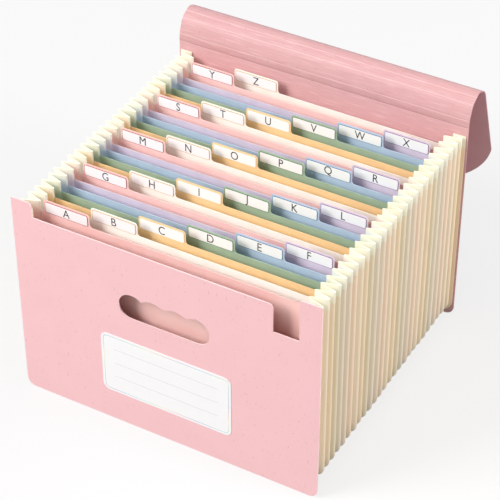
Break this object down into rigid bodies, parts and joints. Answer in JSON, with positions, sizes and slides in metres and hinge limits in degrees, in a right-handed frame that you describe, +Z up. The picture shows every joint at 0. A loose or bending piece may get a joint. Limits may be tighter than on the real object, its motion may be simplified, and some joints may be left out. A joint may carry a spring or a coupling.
{
  "type": "expanding file",
  "caption": "Expanding desk file standing open: stiff covers, a pleated gusset, tabbed divider pockets, a hand hole and a scored lid that folds over the top.",
  "frame": {"origin": "middle of the footprint, lid tongue included, at the height of the covers' bottom edges", "axes": "+Z up, +Y from the front cover to the back cover and the lid, +X to the right seen from the front"},
  "size_m": [0.33, 0.4038, 0.2704],
  "materials": {
    "cover_outside": "matte, fine linen-like grain",
    "cover_inside": "matte, fine linen-like grain",
    "gusset": "satin, slightly see-through cream sheet",
    "divider_pink": "matte",
    "divider_cream": "matte",
    "divider_orange": "matte",
    "divider_green": "matte",
    "divider_blue": "matte",
    "divider_lavender": "matte",
    "label": "white, slightly glossy sticker"
  },
  "bodies": {
    "file": {"front_cover": "cover_outside", "front_label": "label", "gusset": "gusset", "back_cover": "cover_inside", "divider_a": "divider_pink", "tab_label_a": "label", "divider_b": "divider_cream", "tab_label_b": "label", "divider_c": "divider_orange", "tab_label_c": "label", "divider_d": "divider_green", "tab_label_d": "label", "divider_e": "divider_blue", "tab_label_e": "label", "divider_f": "divider_lavender", "tab_label_f": "label", "divider_g": "divider_pink", "tab_label_g": "label", "divider_h": "divider_cream", "tab_label_h": "label", "divider_i": "divider_orange", "tab_label_i": "label", "divider_j": "divider_green", "tab_label_j": "label", "divider_k": "divider_blue", "tab_label_k": "label", "divider_l": "divider_lavender", "tab_label_l": "label", "divider_m": "divider_pink", "tab_label_m": "label", "divider_n": "divider_cream", "tab_label_n": "label", "divider_o": "divider_orange", "tab_label_o": "label", "divider_p": "divider_green", "tab_label_p": "label", "divider_q": "divider_blue", "tab_label_q": "label", "divider_r": "divider_lavender", "tab_label_r": "label", "divider_s": "divider_pink", "tab_label_s": "label", "divider_t": "divider_cream", "tab_label_t": "label", "divider_u": "divider_orange", "tab_label_u": "label", "divider_v": "divider_green", "tab_label_v": "label", "divider_w": "divider_blue", "tab_label_w": "label", "divider_x": "divider_lavender", "tab_label_x": "label", "divider_y": "divider_pink", "tab_label_y": "label", "divider_z": "divider_cream", "tab_label_z": "label"},
    "lid_strip_1": {"lid_strip_1": "cover_inside"},
    "lid_strip_2": {"lid_strip_2": "cover_inside"},
    "lid_strip_3": {"lid_strip_3": "cover_inside"},
    "lid_flap": {"lid_flap": "cover_inside"}
  },
  "joints": [
    {"name": "lid_fold_1", "type": "hinge", "parent": "file", "child": "lid_strip_1", "pos_m": [0, 0.10685, 0.247], "axis": [1, 0, 0], "range_deg": [0, 110.9]},
    {"name": "lid_fold_2", "type": "hinge", "parent": "lid_strip_1", "child": "lid_strip_2", "pos_m": [0, 0.11291, 0.26288], "axis": [1, 0, 0], "range_deg": [0, 42.5]},
    {"name": "lid_fold_3", "type": "hinge", "parent": "lid_strip_2", "child": "lid_strip_3", "pos_m": [0, 0.12738, 0.27016], "axis": [1, 0, 0], "range_deg": [0, 55.6]},
    {"name": "lid_fold_4", "type": "hinge", "parent": "lid_strip_3", "child": "lid_flap", "pos_m": [0, 0.14158, 0.26236], "axis": [1, 0, 0], "range_deg": [0, 41.7]}
  ],
  "couplings": [
    {"joint": "lid_fold_2", "follows": "lid_fold_1", "ratio": 0.38233},
    {"joint": "lid_fold_3", "follows": "lid_fold_1", "ratio": 0.50045},
    {"joint": "lid_fold_4", "follows": "lid_fold_1", "ratio": 0.37511}
  ]
}
